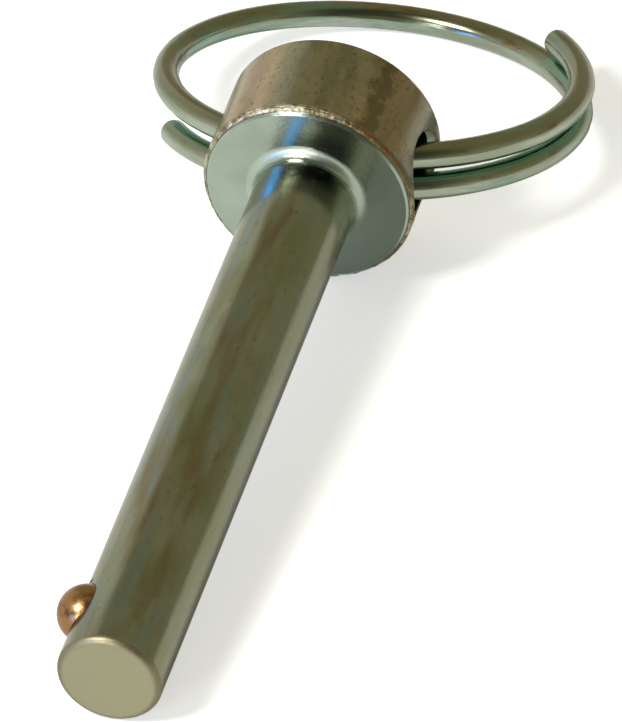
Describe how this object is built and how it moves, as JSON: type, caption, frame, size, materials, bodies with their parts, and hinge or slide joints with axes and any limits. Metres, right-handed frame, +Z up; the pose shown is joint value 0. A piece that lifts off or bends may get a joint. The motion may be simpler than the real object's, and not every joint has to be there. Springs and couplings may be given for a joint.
{
  "type": "detent pin",
  "caption": "Quick-release pin with a plain round head, a staked spring ball near the tip and a split wire ring through the head.",
  "frame": {"origin": "on the surface that it lies on, below the axis of the pin, halfway along the box of the object", "axes": "+Z up; the shank points along -Y and rises a little towards the head; the ring lies behind the head on +Y; the ring hole runs along X"},
  "size_m": [0.0546, 0.1454, 0.0274],
  "materials": {
    "pin_body": "bright zinc plate, turned, lightly worn",
    "detent_ball": "polished, copper-toned",
    "ball_spring": "bright spring wire",
    "split_ring": "bright zinc plate on round wire"
  },
  "bodies": {
    "pin": {"pin_body": "pin_body", "ball_spring": "ball_spring"},
    "ball": {"detent_ball": "detent_ball"},
    "ring": {"split_ring": "split_ring"}
  },
  "joints": [
    {"name": "ring_swing", "type": "hinge", "parent": "pin", "child": "ring", "pos_m": [0, 0.02331, 0.01369], "axis": [1, 0, 0], "range_deg": [-150, 188]},
    {"name": "ball_press", "type": "slide", "parent": "pin", "child": "ball", "axis": [0.9511, 0.0239, -0.3081], "range_m": [0, 0.0024], "stiffness_N_per_m": 2500, "springref_m": -0.0015, "deforming": ["ball_spring"]}
  ]
}
